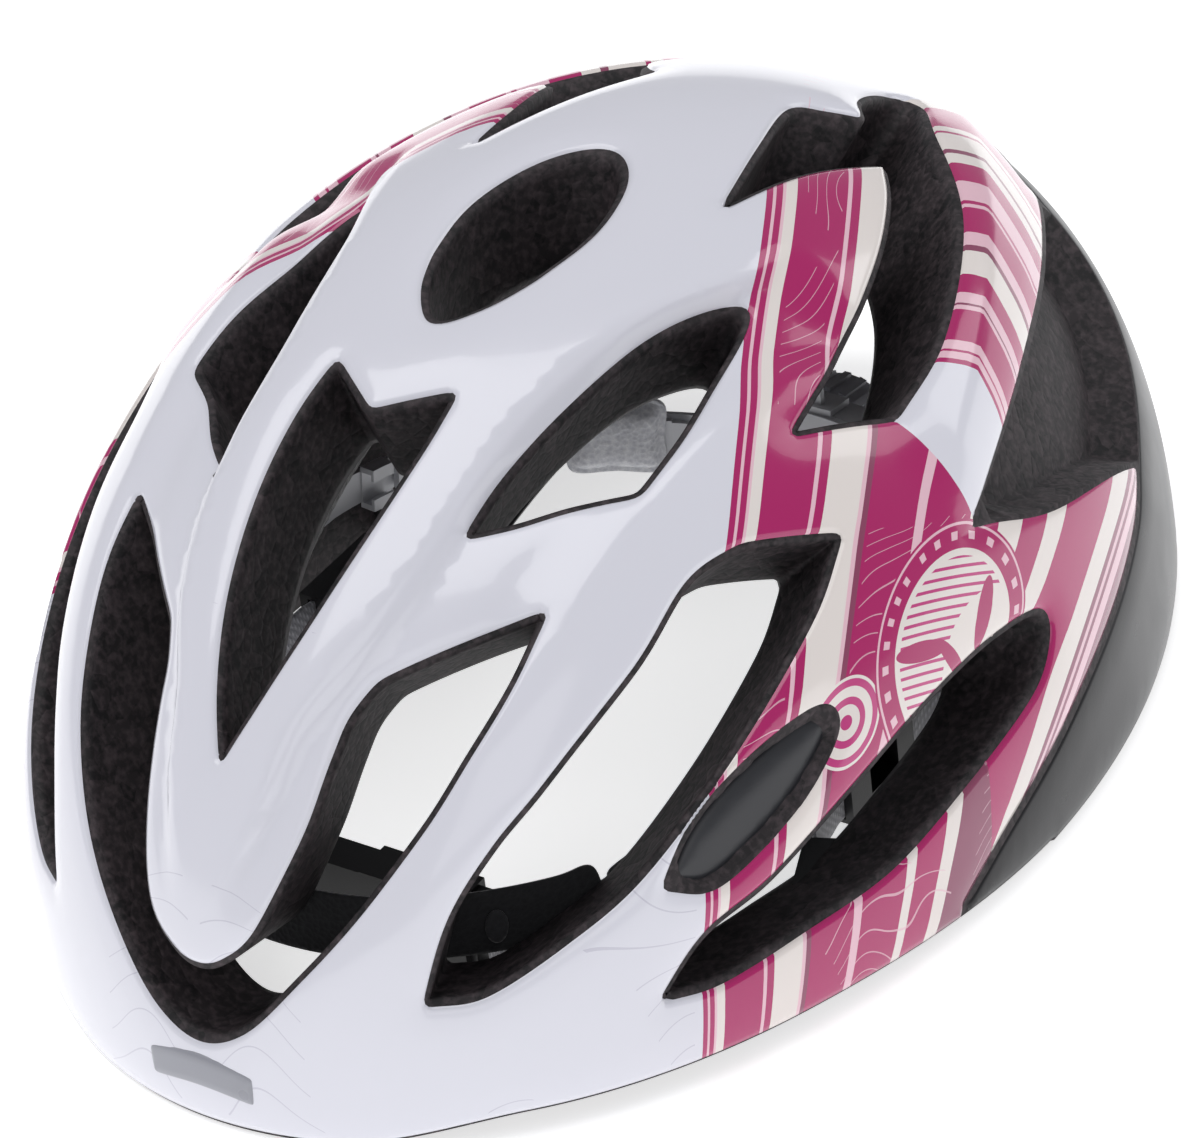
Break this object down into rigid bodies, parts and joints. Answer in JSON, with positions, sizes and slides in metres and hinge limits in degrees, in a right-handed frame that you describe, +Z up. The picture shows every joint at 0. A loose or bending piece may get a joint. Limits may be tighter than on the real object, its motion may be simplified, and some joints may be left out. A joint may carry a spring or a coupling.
{
  "type": "cycling helmet",
  "caption": "Vented road cycling helmet with a glossy shell on a foam liner, padded head cavity, stowed chin straps with a buckle, and a dial-adjusted retention ring.",
  "frame": {"origin": "centre of the helmet's outline on the plane that its rim rests on", "axes": "+Z up, -Y the front of the helmet, +X the wearer's left"},
  "size_m": [0.202, 0.2794, 0.1205],
  "materials": {
    "gloss_white_shell": "clear-coated gloss with printed graphics",
    "matt_black_shell": "satin moulded",
    "black_foam": "moulded bead foam",
    "grey_trim": "fine spark texture",
    "badge_grey": "satin",
    "pad_fabric": "brushed knit",
    "grey_pad_fabric": "brushed knit",
    "hook_tape": "hook pile",
    "white_webbing": "woven",
    "black_nylon": "satin moulded",
    "pale_nylon": "satin moulded",
    "grey_knob": "soft-touch moulded",
    "spring_steel": "plated"
  },
  "bodies": {
    "helmet": {"upper_shell": "gloss_white_shell", "lower_shell": "matt_black_shell", "foam_liner": "black_foam", "side_inserts": "grey_trim", "front_badge": "badge_grey", "brow_pad": "pad_fabric", "crown_pads": "pad_fabric", "side_pads": "pad_fabric", "hook_dots": "hook_tape", "temple_pins": "pale_nylon", "rear_guide": "black_nylon", "strap_anchors": "black_nylon", "front_web_left": "white_webbing", "front_web_right": "white_webbing", "rear_web_left": "white_webbing", "rear_web_right": "white_webbing", "divider_left": "black_nylon", "divider_right": "black_nylon", "chin_strap_left": "white_webbing", "chin_strap_right": "white_webbing", "chin_pad": "pad_fabric", "keeper_rings": "black_nylon", "buckle_female": "black_nylon"},
    "retention_ring": {"ring_frame": "pale_nylon", "dial_housing": "pale_nylon", "housing_cover": "pale_nylon", "height_post": "pale_nylon", "housing_screws": "spring_steel", "detent_spring": "spring_steel"},
    "dial": {"dial_knob": "grey_knob", "dial_pinion": "pale_nylon"},
    "left_band": {"band_left": "pale_nylon", "cradle_pad_left": "grey_pad_fabric"},
    "right_band": {"band_right": "pale_nylon", "cradle_pad_right": "grey_pad_fabric"},
    "buckle_tongue": {"buckle_male": "black_nylon"},
    "left_lever": {"lever_left": "pale_nylon"},
    "right_lever": {"lever_right": "pale_nylon"}
  },
  "joints": [
    {"name": "ring_tilt", "type": "hinge", "parent": "helmet", "child": "retention_ring", "pos_m": [0, -0.04688, 0.034], "axis": [1, 0, 0], "range_deg": [0, 5]},
    {"name": "dial_turn", "type": "hinge", "parent": "retention_ring", "child": "dial", "pos_m": [0, 0.07579, 0.01457], "axis": [0, 0.9877, -0.1564], "range_deg": [-105, 105]},
    {"name": "left_band_slide", "type": "hinge", "parent": "retention_ring", "child": "left_band", "pos_m": [0, 0.00843, 0.02524], "axis": [0, 0.1564, 0.9877], "range_deg": [-8, 8]},
    {"name": "right_band_slide", "type": "hinge", "parent": "retention_ring", "child": "right_band", "pos_m": [0, 0.00843, 0.02524], "axis": [0, 0.1564, 0.9877], "range_deg": [-8, 8]},
    {"name": "buckle_slide", "type": "slide", "parent": "helmet", "child": "buckle_tongue", "axis": [-1, 0, 0], "range_m": [0, 0.019], "deforming": ["chin_strap_right"]},
    {"name": "left_lever_turn", "type": "hinge", "parent": "helmet", "child": "left_lever", "pos_m": [0.0559, 0.00732, 0.0125], "axis": [0, 0, -1], "range_deg": [0, 75]},
    {"name": "right_lever_turn", "type": "hinge", "parent": "helmet", "child": "right_lever", "pos_m": [-0.0559, 0.00732, 0.0125], "axis": [0, 0, 1], "range_deg": [0, 75]}
  ],
  "couplings": [
    {"joint": "left_band_slide", "follows": "dial_turn", "ratio": -0.073314},
    {"joint": "right_band_slide", "follows": "dial_turn", "ratio": 0.073314}
  ]
}
